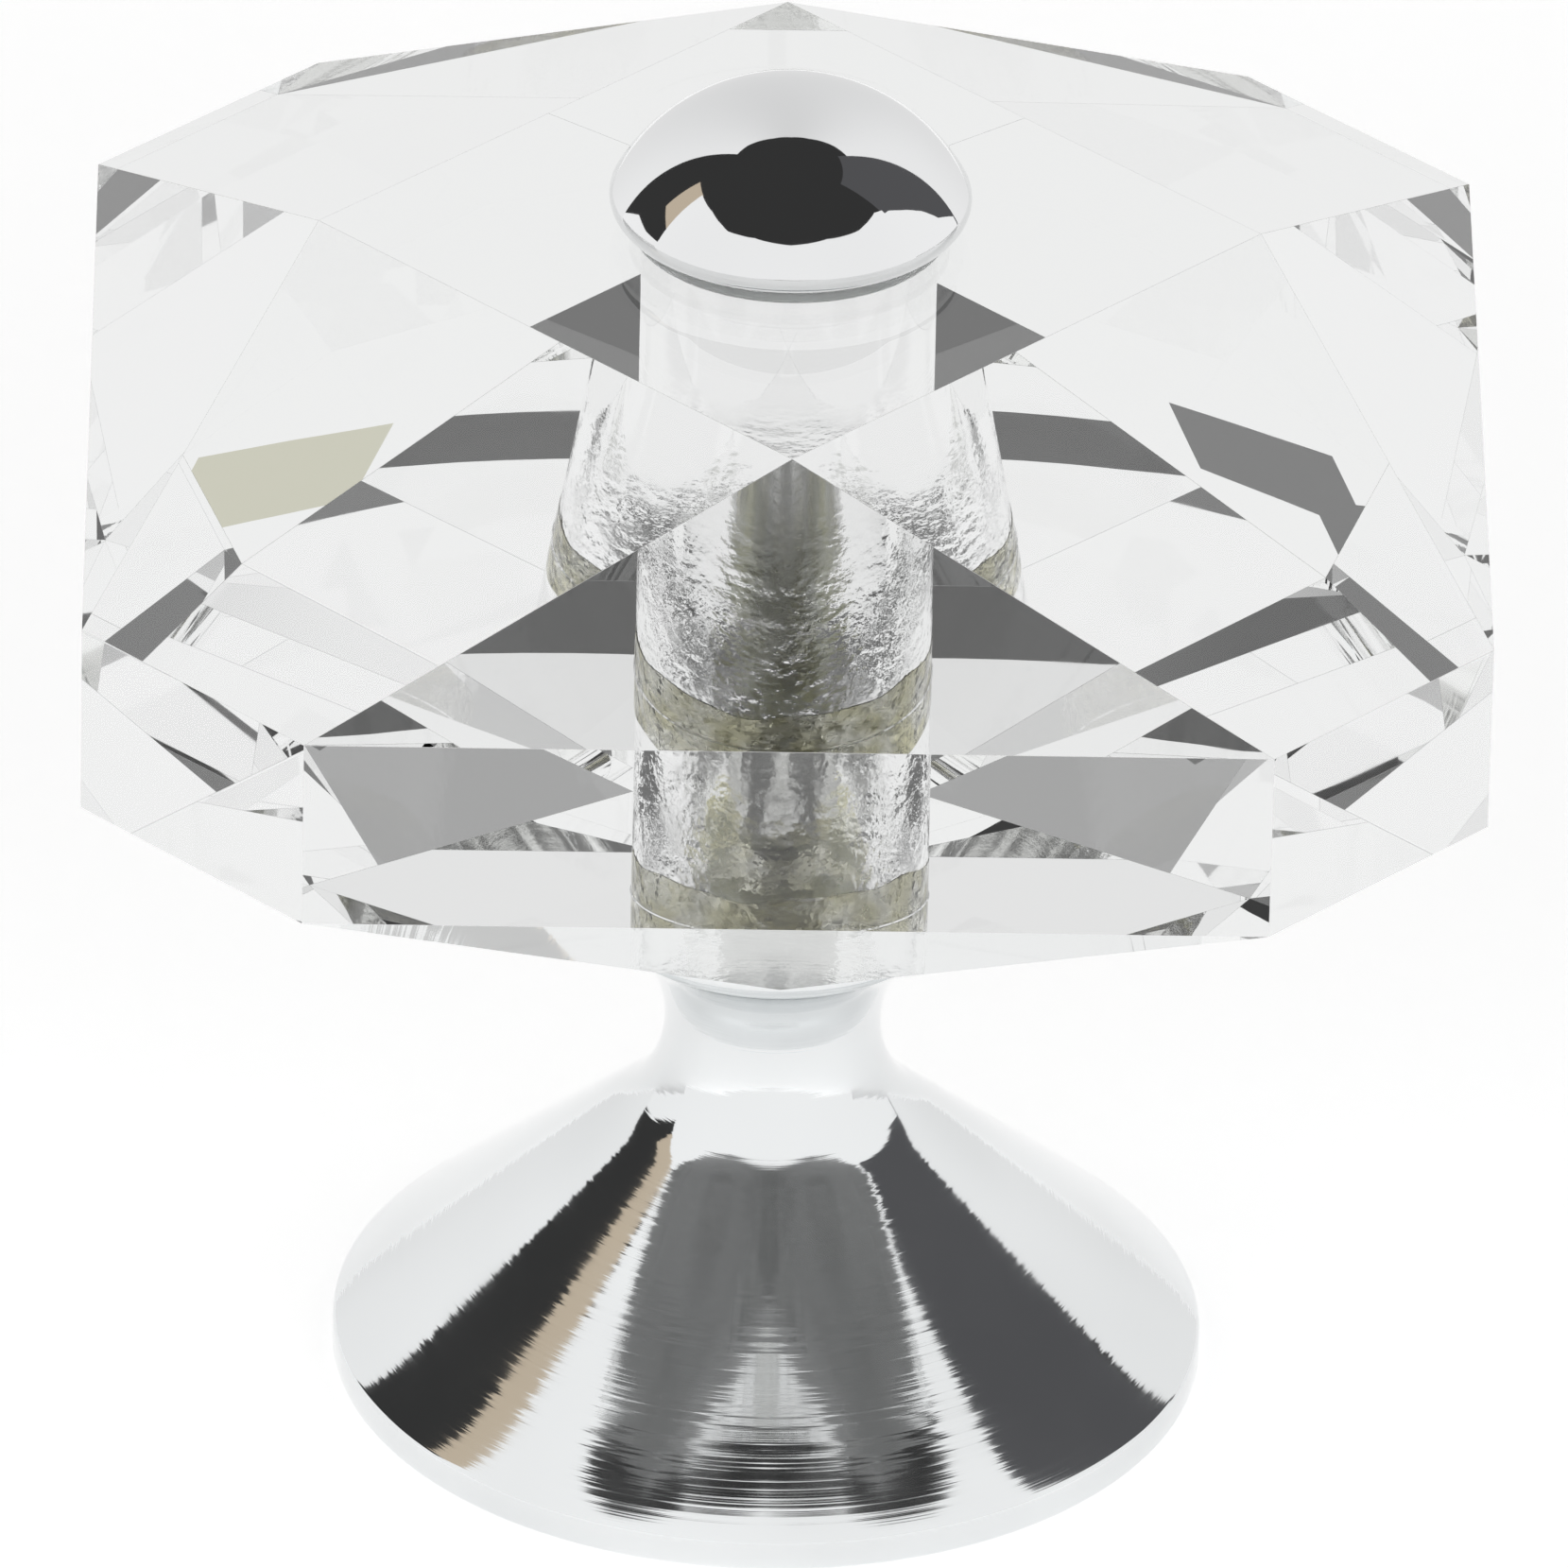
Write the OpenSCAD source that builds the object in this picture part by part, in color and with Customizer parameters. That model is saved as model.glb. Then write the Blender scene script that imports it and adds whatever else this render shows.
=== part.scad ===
// Faceted crystal furniture knob on a turned chrome foot, held together by a bolt through the crystal.
// The origin is the centre of the foot's mounting face. +Z runs along the knob's axis, away from the door.

/* [Crystal] */
// Width of the crystal across two opposite flat sides
crystal_w = 40; // [36:0.5:46]
// Width of each flat side, between the cut corners
side_w = 27.3; // [22:0.1:32]
// Height of the upright band round the crystal
girdle_h = 5.8; // [3:0.1:7]
// Height of the crystal between its top and bottom tables
crystal_h = 17.4; // [14:0.1:20]
// Corner to corner size of the turned square tables
table_d = 27; // [22:0.1:30]
// Diameter of the hole drilled through the crystal
bore_d = 8.5; // [7:0.1:8.7]
// Size of the ground bevel round each end of the drilled hole
bore_bevel = 0.15; // [0.05:0.05:0.2]

/* [Foot] */
// Diameter of the foot
foot_d = 25.4; // [23:0.1:27]
// Height of the foot's upright rim
rim_h = 1; // [0.6:0.1:1.5]
// Width of the small bevels on the rim
rim_bevel = 0.15; // [0.05:0.05:0.25]
// Slope of the foot's cone above the mounting face
cone_angle = 41; // [37:1:43]
// Diameter of the shallow recess under the foot
recess_d = 17; // [14:0.5:20]
// Depth of the shallow recess under the foot
recess_h = 0.5; // [0.2:0.1:0.8]

/* [Stem] */
// Height of the whole stem from the mounting face to the seat under the crystal
seat_z = 19.5; // [18.5:0.1:21]
// Height of the narrowest point of the stem
waist_z = 11.2; // [10.9:0.1:11.8]
// Diameter of the narrowest point of the stem
waist_d = 6.3; // [5.8:0.1:7]
// Diameter of the collar that carries the crystal
collar_d = 10.8; // [10:0.1:12]
// Rounding under the collar
collar_round = 0.8; // [0.5:0.1:1]
// Bevel round the top of the collar
seat_bevel = 0.3; // [0.1:0.1:0.5]

/* [Mounting thread] */
// Core diameter of the M4 thread for the door screw
mount_core_d = 3.3; // [3.2:0.05:3.4]
// Depth of the threaded hole below the recess
mount_depth = 8.8; // [7:0.1:9]
// Size of the countersink at the thread's mouth
mount_sink = 0.4; // [0.2:0.1:0.6]

/* [Bolt] */
// Diameter of the bolt's plain middle
shank_d = 5.2; // [4.6:0.1:6]
// Diameter of the two M4 threaded ends
thread_d = 4; // [3.5:0.1:4.2]
// Height of the bolt's lower shoulder above the crystal's bottom table
shoulder_lift = 1.7; // [1:0.1:2.5]
// Length of thread that goes into the stem
stem_grip = 5.4; // [4:0.1:5.6]
// Length of thread that goes into the cap
cap_grip = 2; // [1.5:0.1:2.2]
// Bevel on both ends of the bolt
bolt_bevel = 0.4; // [0.2:0.1:0.5]
// Gap between the bolt's thread and its holes, measured on the radius
thread_gap = 0.03; // [0.02:0.01:0.05]
// Extra depth of the holes past the bolt's ends
hole_spare = 0.3; // [0.2:0.1:0.4]

/* [Cap] */
// Diameter of the domed cap
cap_d = 10.4; // [9.8:0.1:12]
// Height of the domed cap
cap_h = 3.85; // [3.6:0.05:4.5]
// Rounding of the cap's rim
cap_round = 0.55; // [0.4:0.05:0.7]

/* [Washers and adhesive] */
// Thickness of the clear plastic washers above and below the crystal
washer_t = 0.5; // [0.3:0.1:0.8]
// Outer diameter of the washer on the stem
seat_washer_d = 10; // [9.6:0.1:10.2]
// Outer diameter of the washer under the cap
cap_washer_d = 9.2; // [9.1:0.1:9.6]
// Gap between the washers' holes and the bolt, measured on the radius
washer_gap = 0.1; // [0.05:0.05:0.3]
// Height of the adhesive where it climbs the wall of the drilled hole
glue_h = 1.5; // [0.8:0.1:1.6]
// Depth of the hollow in the adhesive's upper surface
glue_dip = 0.4; // [0.2:0.05:0.5]

/* [Hidden] */
$fn = 96;

// A little more than nothing, so that cutters pass right through
past = 0.01;
// Depth of a drill's point for each millimetre of its radius
drill_point = 0.6;
// Edge of the blocks that cut the facets
block = 120;

crystal_z = seat_z + washer_t;
crystal_mid_z = crystal_z + crystal_h / 2;
crystal_top_z = crystal_z + crystal_h;
half_w = crystal_w / 2;
half_side = side_w / 2;
half_girdle = girdle_h / 2;
crown_h = (crystal_h - girdle_h) / 2;
corner_r = (half_w + half_side) / sqrt(2);
table_r = table_d / 2;
table_flat_r = table_r / sqrt(2);

foot_r = foot_d / 2;
waist_r = waist_d / 2;
collar_r = collar_d / 2;
mount_core_r = mount_core_d / 2;
// Radius of the hollow sweep of the waist, which the cone meets without an edge
cone_turn = 90 - cone_angle;
sweep_r = (waist_z - rim_h - tan(cone_angle) * (foot_r - waist_r))
    / (sin(cone_turn) - tan(cone_angle) * (1 - cos(cone_turn)));
sweep_x = waist_r + sweep_r;
cone_end = [sweep_x - sweep_r * cos(cone_turn), waist_z - sweep_r * sin(cone_turn)];
// Centre of the rounding under the collar, which the sweep meets without an edge
collar_round_x = collar_r - collar_round;
collar_round_z = waist_z + sqrt(pow(sweep_r + collar_round, 2) - pow(sweep_x - collar_round_x, 2));

thread_r = thread_d / 2;
shank_r = shank_d / 2;
hole_r = thread_r + thread_gap;
shoulder_z = crystal_z + shoulder_lift;
cap_z = crystal_top_z + washer_t;
bolt_low_z = seat_z - stem_grip;
bolt_top_z = cap_z + cap_grip;

cap_r = cap_d / 2;
// Centre and radius of the ball that the dome is part of, tangent to the rounded rim
rim_x = cap_r - cap_round;
rim_drop = cap_h - cap_round;
dome_r = (pow(rim_x, 2) + pow(rim_drop, 2) - pow(cap_round, 2)) / (2 * (rim_drop - cap_round));
dome_angle = atan2(rim_x, dome_r - rim_drop);

// Everything on the inner side of a sloping plane that passes through [r, z], seen at the given turn
module inside_slope(turn, r, z, tilt) {
    rotate([0, 0, turn])
        translate([r, 0, z])
            rotate([0, -tilt, 0])
                translate([-block, -block / 2, -block / 2])
                    cube(block);
}

// The upright outline of the crystal: a square with its four corners cut off
module girdle_outline() {
    polygon([
        for (side = [0:3], end = [-1, 1])
            let (turn = 90 * side)
            [half_w * cos(turn) - end * half_side * sin(turn), half_w * sin(turn) + end * half_side * cos(turn)]
    ]);
}

// The eight sloping facets of one face of the crystal, as a solid open to the other face
module crown() {
    intersection_for (quarter = [0:3]) {
        intersection() {
            inside_slope(90 * quarter, half_w, half_girdle, atan2(half_w - table_r, crown_h));
            inside_slope(90 * quarter + 45, corner_r, half_girdle, atan2(corner_r - table_flat_r, crown_h));
        }
    }
}

// A hole drilled down from z = 0, with the drill's point at its bottom
module drilled_hole(r, depth) {
    translate([0, 0, -depth])
        cylinder(h = depth + past, r = r);
    translate([0, 0, -depth - r * drill_point])
        cylinder(h = r * drill_point, r1 = 0, r2 = r);
}

// The turned outline of foot, waist and collar, from the axis outwards
module foot_outline() {
    difference() {
        polygon([
            [0, 0],
            [foot_r - rim_bevel, 0],
            [foot_r, rim_bevel],
            [foot_r, rim_h - rim_bevel],
            [foot_r - rim_bevel, rim_h + rim_bevel * tan(cone_angle)],
            cone_end,
            [sweep_x, waist_z],
            [collar_round_x, collar_round_z],
            [collar_r, collar_round_z],
            [collar_r, seat_z - seat_bevel],
            [collar_r - seat_bevel, seat_z],
            [0, seat_z]
        ]);
        translate([sweep_x, waist_z])
            circle(r = sweep_r);
    }
    translate([collar_round_x, collar_round_z])
        circle(r = collar_round);
}

// One-piece chrome foot and stem, threaded at both ends
module foot_stem() {
    color("gainsboro")
    difference() {
        rotate_extrude()
            foot_outline();
        translate([0, 0, -past])
            cylinder(h = recess_h + past, d = recess_d);
        mirror([0, 0, 1])
            translate([0, 0, -recess_h])
                drilled_hole(mount_core_r, mount_depth);
        translate([0, 0, recess_h])
            cylinder(h = mount_sink, r1 = mount_core_r + mount_sink, r2 = mount_core_r);
        translate([0, 0, seat_z])
            drilled_hole(hole_r, stem_grip + hole_spare);
    }
}

// A flat round washer standing on z = 0
module washer(outer_d, inner_r) {
    difference() {
        cylinder(h = washer_t, d = outer_d);
        translate([0, 0, -past])
            cylinder(h = washer_t + 2 * past, r = inner_r);
    }
}

// Clear washer that keeps the crystal off the metal collar
module seat_washer() {
    color("lightcyan")
    translate([0, 0, seat_z])
        washer(seat_washer_d, thread_r + washer_gap);
}

// Thick cut crystal with its drilled hole
module crystal_head() {
    color("aliceblue")
    translate([0, 0, crystal_mid_z])
    difference() {
        intersection() {
            linear_extrude(height = crystal_h, center = true)
                girdle_outline();
            crown();
            mirror([0, 0, 1])
                crown();
        }
        cylinder(h = crystal_h + 2 * past, d = bore_d, center = true);
        for (side = [0, 1])
            mirror([0, 0, side])
                translate([0, 0, crystal_h / 2 - bore_bevel])
                    cylinder(h = bore_bevel + past, d1 = bore_d, d2 = bore_d + 2 * (bore_bevel + past));
    }
}

// Ring of cured adhesive at the bottom of the drilled hole, hollowed where it climbs the walls
module bore_adhesive() {
    dip_half_w = (bore_d / 2 - thread_r) / 2;
    dip_r = (pow(dip_half_w, 2) + pow(glue_dip, 2)) / (2 * glue_dip);
    color("olive")
    translate([0, 0, crystal_z])
        rotate_extrude()
            difference() {
                translate([thread_r, 0])
                    square([bore_d / 2 - thread_r, glue_h]);
                translate([thread_r + dip_half_w, glue_h - glue_dip + dip_r])
                    circle(r = dip_r);
            }
}

// Shouldered bolt that pulls the cap and the stem together through the crystal
module tie_bolt() {
    color("silver")
    rotate_extrude()
        polygon([
            [0, bolt_low_z],
            [thread_r - bolt_bevel, bolt_low_z],
            [thread_r, bolt_low_z + bolt_bevel],
            [thread_r, shoulder_z],
            [shank_r - bolt_bevel, shoulder_z],
            [shank_r, shoulder_z + bolt_bevel],
            [shank_r, cap_z],
            [thread_r, cap_z],
            [thread_r, bolt_top_z - bolt_bevel],
            [thread_r - bolt_bevel, bolt_top_z],
            [0, bolt_top_z]
        ]);
}

// Clear washer under the cap
module cap_washer() {
    color("lightcyan")
    translate([0, 0, crystal_top_z])
        washer(cap_washer_d, shank_r + washer_gap);
}

// Domed cap with a rounded rim, screwed onto the bolt
module dome_cap() {
    color("gainsboro")
    translate([0, 0, cap_z])
        difference() {
            rotate_extrude() {
                translate([rim_x, cap_round])
                    circle(r = cap_round);
                square([rim_x, cap_round]);
                intersection() {
                    translate([0, cap_h - dome_r])
                        circle(r = dome_r);
                    polygon([
                        [0, 0],
                        [rim_x, 0],
                        [rim_x, cap_round],
                        [rim_x + cap_round * sin(dome_angle), cap_round + cap_round * cos(dome_angle)],
                        [rim_x + cap_round * sin(dome_angle), cap_h],
                        [0, cap_h]
                    ]);
                }
            }
            mirror([0, 0, 1])
                drilled_hole(hole_r, cap_grip + hole_spare);
        }
}

foot_stem();
seat_washer();
crystal_head();
bore_adhesive();
tie_bolt();
cap_washer();
dome_cap();
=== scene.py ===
"""Looks of a crystal furniture knob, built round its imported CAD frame.

Every length in the classes is in millimetres, as in the part's own source, unless its note says metres. It
becomes metres when a mesh is made. The knob stands on the centre of its foot, with +Z along its axis.
"""
import logging
import math
from dataclasses import dataclass, field
from enum import Enum
from typing import Any, ClassVar, Iterable, NamedTuple, Sequence

import bmesh
import bpy
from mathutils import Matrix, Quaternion, Vector


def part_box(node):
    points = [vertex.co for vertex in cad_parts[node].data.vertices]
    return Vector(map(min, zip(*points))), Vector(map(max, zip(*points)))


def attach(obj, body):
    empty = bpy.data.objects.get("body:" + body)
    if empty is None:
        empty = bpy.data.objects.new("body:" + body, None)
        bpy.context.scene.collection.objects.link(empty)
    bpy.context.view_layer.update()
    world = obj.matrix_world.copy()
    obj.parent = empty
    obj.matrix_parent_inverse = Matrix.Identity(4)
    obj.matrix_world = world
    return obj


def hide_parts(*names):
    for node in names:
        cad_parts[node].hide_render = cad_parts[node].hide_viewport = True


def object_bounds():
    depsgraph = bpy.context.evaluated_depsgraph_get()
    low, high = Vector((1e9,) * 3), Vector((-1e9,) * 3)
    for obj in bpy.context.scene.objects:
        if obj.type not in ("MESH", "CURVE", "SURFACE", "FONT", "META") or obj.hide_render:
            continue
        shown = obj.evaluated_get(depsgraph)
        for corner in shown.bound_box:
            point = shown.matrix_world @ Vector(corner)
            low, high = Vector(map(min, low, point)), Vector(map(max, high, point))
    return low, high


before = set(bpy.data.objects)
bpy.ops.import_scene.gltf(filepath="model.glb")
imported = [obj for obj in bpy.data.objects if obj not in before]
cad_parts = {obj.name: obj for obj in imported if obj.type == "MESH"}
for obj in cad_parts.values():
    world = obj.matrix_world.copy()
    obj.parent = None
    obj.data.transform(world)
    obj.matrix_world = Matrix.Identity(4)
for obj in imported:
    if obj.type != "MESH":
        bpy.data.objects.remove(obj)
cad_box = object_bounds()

log = logging.getLogger("knob")

MM = 0.001
BODY = "root"
ON_AXIS = 1e-9
SHARP_ANGLE = 40.0
WHITE = (1.0, 1.0, 1.0)

Point = tuple[float, float]
Range = tuple[float, float]
Colour = tuple[float, float, float]


class Slot(Enum):
    """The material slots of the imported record."""

    FOOT = "foot_chrome"
    CAP = "cap_chrome"
    CRYSTAL = "crystal"
    PLASTIC = "clear_plastic"
    ADHESIVE = "adhesive"
    BOLT = "bolt_steel"


class ThreadSide(Enum):
    """Which way the crest of a screw thread points."""

    OUTSIDE = 0.0
    INSIDE = math.pi


# Shader and geometry graphs


class Graph:
    """A node tree with short calls for adding and joining nodes.

    In a material, where is the socket of the object coordinates, in metres.
    """

    def __init__(self, tree: bpy.types.NodeTree) -> None:
        """Empties the tree.

        Args:
            tree: The node tree to build in.
        """
        self.tree = tree
        self.where: Any = None
        tree.nodes.clear()

    def add(self, kind: str, inputs: dict[Any, Any] | None = None, **settings: Any) -> bpy.types.Node:
        """Adds a node.

        Args:
            kind: The node's type name.
            inputs: Values or sockets for the inputs, by name or number.
            settings: Attributes to set on the node.

        Returns:
            The new node.
        """
        node = self.tree.nodes.new(kind)
        for key, value in settings.items():
            setattr(node, key, value)
        for key, value in (inputs or {}).items():
            if isinstance(value, bpy.types.NodeSocket):
                self.tree.links.new(value, node.inputs[key])
            else:
                node.inputs[key].default_value = value
        return node

    def maths(self, operation: str, *values: Any) -> bpy.types.NodeSocket:
        """Adds a Math node.

        Args:
            operation: The node's operation.
            values: Numbers or sockets for its inputs, in order.

        Returns:
            The result socket.
        """
        return self.add("ShaderNodeMath", dict(enumerate(values)), operation=operation).outputs[0]

    def ramp(self, value: Any, low: float, high: float, to_low: float = 0.0, to_high: float = 1.0) -> Any:
        """Maps a value smoothly from one range to another, and holds it at the ends.

        Args:
            value: The socket to read.
            low: The value that gives to_low.
            high: The value that gives to_high.
            to_low: The result at low.
            to_high: The result at high.

        Returns:
            The result socket.
        """
        inputs = {"Value": value, "From Min": low, "From Max": high, "To Min": to_low, "To Max": to_high}
        return self.add("ShaderNodeMapRange", inputs, interpolation_type="SMOOTHSTEP").outputs[0]

    def blend(self, share: Any, first: Any, second: Any) -> Any:
        """Mixes two colours.

        Args:
            share: How much of the second colour shows.
            first: The first colour or socket.
            second: The second colour or socket.

        Returns:
            The mixed colour's socket.
        """
        mix = self.add("ShaderNodeMix", data_type="RGBA")
        for socket, value in ((mix.inputs[0], share), (mix.inputs[6], first), (mix.inputs[7], second)):
            if isinstance(value, bpy.types.NodeSocket):
                self.tree.links.new(value, socket)
            else:
                socket.default_value = value if isinstance(value, float) else (*value, 1.0)
        return mix.outputs[2]

    def noise(self, scale: float, detail: float = 2.0, along: Any = None) -> Any:
        """Adds a noise texture.

        Args:
            scale: Lumps to a metre.
            detail: How many finer layers it has.
            along: The distance socket of a noise that changes in one direction only.

        Returns:
            The noise value's socket.
        """
        inputs = {"W" if along else "Vector": along or self.where, "Scale": scale, "Detail": detail}
        return self.add("ShaderNodeTexNoise", inputs, noise_dimensions="1D" if along else "3D").outputs[0]


# Finishes


@dataclass(frozen=True)
class Finish:
    """A surface finish. Its own sizes are fields, and paint() builds its nodes."""

    name: str

    def paint(self, graph: Graph) -> dict[str, Any]:
        """Builds the finish's patterns.

        Args:
            graph: The material's graph.

        Returns:
            Values and sockets for the inputs of the surface shader.
        """
        raise NotImplementedError

    def shader(self, graph: Graph) -> bpy.types.Node:
        """Adds the surface shader with the patterns."""
        return graph.add("ShaderNodeBsdfPrincipled", self.paint(graph))

    def material(self) -> bpy.types.Material:
        """Gives the finish's material, and makes it the first time.

        Returns:
            The material.
        """
        known = bpy.data.materials.get(self.name)
        if known:
            return known
        material = bpy.data.materials.new(self.name)
        material.use_nodes = True
        graph = Graph(material.node_tree)
        graph.where = graph.add("ShaderNodeTexCoord").outputs["Object"]
        graph.add("ShaderNodeOutputMaterial", {"Surface": self.shader(graph).outputs[0]})
        return material

    def bump(self, graph: Graph, height: Any, distance: float) -> Any:
        """Adds a bump.

        Args:
            graph: The material's graph.
            height: The socket of the height pattern.
            distance: The relief between 0 and 1 of the pattern, in millimetres.

        Returns:
            The normal socket.
        """
        inputs = {"Height": height, "Distance": distance * MM, "Strength": 1.0}
        return graph.add("ShaderNodeBump", inputs).outputs[0]


@dataclass(frozen=True)
class PolishedCrystal(Finish):
    """Clear lead-free crystal with polished facets that are very slightly wavy and faintly wiped."""

    tint: Colour = (0.985, 0.992, 0.988)
    refraction: float = 1.52
    wave_scale: float = 140.0
    wave_height: float = 0.0016
    wipe_scale: float = 260.0
    wipe_range: Range = (0.45, 0.8)
    wipe_roughness: float = 0.02

    def paint(self, graph: Graph) -> dict[str, Any]:
        """Paints clear glass with faint waves and wipe marks.

        Args:
            graph: The material's graph.

        Returns:
            The inputs of the surface shader.
        """
        wave = graph.noise(self.wave_scale, detail=1.0)
        wipe = graph.noise(self.wipe_scale, detail=4.0)
        return {
            "Base Color": (*self.tint, 1.0),
            "Roughness": graph.ramp(wipe, *self.wipe_range, 0.0, self.wipe_roughness),
            "IOR": self.refraction,
            "Transmission Weight": 1.0,
            "Normal": self.bump(graph, wave, self.wave_height),
        }


@dataclass(frozen=True)
class DrilledCrystal(Finish):
    """The wall of the drilled hole: nearly clear above, rough and wetted by adhesive below."""

    tint: Colour = (0.98, 0.985, 0.975)
    refraction: float = 1.52
    rough_below: float = 22.0
    clear_above: float = 30.0
    grain_scale: float = 2600.0
    pit_scale: float = 900.0
    pit_share: float = 2.0
    pit_range: Range = (0.4, 0.7)
    grain_height: float = 0.06
    least_rough: float = 0.12
    roughness: float = 0.25

    def paint(self, graph: Graph) -> dict[str, Any]:
        """Paints glass whose grain and roughness fade with height.

        Args:
            graph: The material's graph.

        Returns:
            The inputs of the surface shader.
        """
        height = graph.add("ShaderNodeSeparateXYZ", {0: graph.where}).outputs[2]
        low = graph.ramp(height, self.rough_below * MM, self.clear_above * MM, 1.0, 0.0)
        grain = graph.noise(self.grain_scale, detail=3.0)
        pits = graph.noise(self.pit_scale, detail=3.0)
        relief = graph.maths("ADD", grain, graph.maths("MULTIPLY", pits, self.pit_share))
        pitted = graph.maths("MULTIPLY", graph.ramp(pits, *self.pit_range), low)
        rough = graph.maths("ADD", pitted, self.least_rough)
        return {
            "Base Color": (*self.tint, 1.0),
            "Roughness": graph.maths("MULTIPLY", rough, self.roughness),
            "IOR": self.refraction,
            "Transmission Weight": 1.0,
            "Normal": self.bump(graph, graph.maths("MULTIPLY", relief, low), self.grain_height),
        }


@dataclass(frozen=True)
class TurnedMetal(Finish):
    """Plated or bare metal with the fine rings that a lathe leaves."""

    colour: Colour
    roughness: float
    ring_scale: float
    ring_height: float
    haze_scale: float = 500.0
    haze_share: float = 0.3
    haze_range: Range = (0.3, 0.7)
    dust_scale: float = 90.0
    dust_range: Range = (0.35, 0.7)
    dust_shade: float = 0.93

    def paint(self, graph: Graph) -> dict[str, Any]:
        """Paints metal with fine rings round Z and a slightly uneven gloss.

        Args:
            graph: The material's graph.

        Returns:
            The inputs of the surface shader.
        """
        height = graph.add("ShaderNodeSeparateXYZ", {0: graph.where}).outputs[2]
        rings = graph.noise(self.ring_scale, detail=3.0, along=height)
        haze = graph.noise(self.haze_scale, detail=4.0)
        dust = graph.noise(self.dust_scale)
        darker = tuple(self.dust_shade * part for part in self.colour)
        smoothest, roughest = ((1 + side * self.haze_share) * self.roughness for side in (-1, 1))
        return {
            "Base Color": graph.blend(graph.ramp(dust, *self.dust_range), self.colour, darker),
            "Metallic": 1.0,
            "Roughness": graph.ramp(haze, *self.haze_range, smoothest, roughest),
            "Normal": self.bump(graph, rings, self.ring_height),
        }


@dataclass(frozen=True)
class ClearPlastic(Finish):
    """Soft clear plastic of the washers."""

    clear: Colour = (0.93, 0.95, 0.95)
    milky: Colour = (0.86, 0.88, 0.87)
    refraction: float = 1.49
    clearness: float = 0.85
    cloud_scale: float = 700.0
    cloud_range: Range = (0.3, 0.7)
    roughness: Range = (0.12, 0.26)
    grain_scale: float = 5000.0
    grain_height: float = 0.004

    def paint(self, graph: Graph) -> dict[str, Any]:
        """Paints slightly milky plastic with a moulded grain.

        Args:
            graph: The material's graph.

        Returns:
            The inputs of the surface shader.
        """
        cloud = graph.noise(self.cloud_scale, detail=3.0)
        grain = graph.noise(self.grain_scale)
        return {
            "Base Color": graph.blend(cloud, self.clear, self.milky),
            "Roughness": graph.ramp(cloud, *self.cloud_range, *self.roughness),
            "IOR": self.refraction,
            "Transmission Weight": self.clearness,
            "Normal": self.bump(graph, grain, self.grain_height),
        }


@dataclass(frozen=True)
class CuredAdhesive(Finish):
    """Pale olive adhesive with trapped bubbles."""

    pale: Colour = (0.95, 0.945, 0.88)
    olive: Colour = (0.74, 0.71, 0.48)
    refraction: float = 1.5
    clearness: float = 0.96
    cloud_scale: float = 700.0
    cloud_range: Range = (0.3, 0.7)
    olive_range: Range = (0.4, 0.62)
    roughness: Range = (0.05, 0.2)
    bubble_scale: float = 2200.0
    bubble_depth: float = 0.05

    def paint(self, graph: Graph) -> dict[str, Any]:
        """Paints olive resin, clouded and pitted.

        Args:
            graph: The material's graph.

        Returns:
            The inputs of the surface shader.
        """
        cloud = graph.noise(self.cloud_scale, detail=4.0)
        pattern = {"Vector": graph.where, "Scale": self.bubble_scale}
        bubbles = graph.add("ShaderNodeTexVoronoi", pattern).outputs[0]
        return {
            "Base Color": graph.blend(graph.ramp(cloud, *self.olive_range), self.pale, self.olive),
            "Roughness": graph.ramp(cloud, *self.cloud_range, *self.roughness),
            "Transmission Weight": self.clearness,
            "IOR": self.refraction,
            "Normal": self.bump(graph, bubbles, self.bubble_depth),
        }


@dataclass(frozen=True)
class PaleFloor(Finish):
    """The plain pale surface that the knob stands on."""

    light: Colour = (0.86, 0.86, 0.86)
    shaded: Colour = (0.83, 0.83, 0.83)
    tooth_scale: float = 900.0
    roughness: float = 0.6
    gloss: float = 0.2
    glow: float = 0.5

    def paint(self, graph: Graph) -> dict[str, Any]:
        """Paints matt white board that glows a little, so that shadows stay soft.

        Args:
            graph: The material's graph.

        Returns:
            The inputs of the surface shader.
        """
        tooth = graph.noise(self.tooth_scale)
        return {
            "Base Color": graph.blend(tooth, self.light, self.shaded),
            "Roughness": self.roughness,
            "Specular IOR Level": self.gloss,
            "Emission Color": (*WHITE, 1.0),
            "Emission Strength": self.glow,
        }


CRYSTAL = PolishedCrystal("polished_crystal")
DRILLED = DrilledCrystal("drilled_crystal")
FOOT_CHROME = TurnedMetal("foot_chrome_plate", (0.80, 0.815, 0.82), 0.07, 5200.0, 0.004)
CAP_CHROME = TurnedMetal("cap_chrome_plate", (0.82, 0.825, 0.83), 0.03, 1500.0, 0.0006)
BOLT_STEEL = TurnedMetal("turned_bolt_steel", (0.78, 0.78, 0.77), 0.16, 4000.0, 0.01)
PLASTIC = ClearPlastic("clear_washer_plastic")
ADHESIVE = CuredAdhesive("olive_adhesive")
FLOOR = PaleFloor("pale_floor_board")


# Meshes


def arc(centre: Point, radius: float, start: float, end: float, steps: int) -> list[Point]:
    """Points along a circle in the (radius, height) plane.

    Args:
        centre: The circle's centre.
        radius: Its radius.
        start: The first point's angle in degrees, from the outward direction towards +Z.
        end: The last point's angle in degrees.
        steps: How many stretches lie between them.

    Returns:
        The points, both ends included.
    """
    turns = [math.radians(start + (end - start) * step / steps) for step in range(steps + 1)]
    return [(centre[0] + radius * math.cos(turn), centre[1] + radius * math.sin(turn)) for turn in turns]


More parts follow.
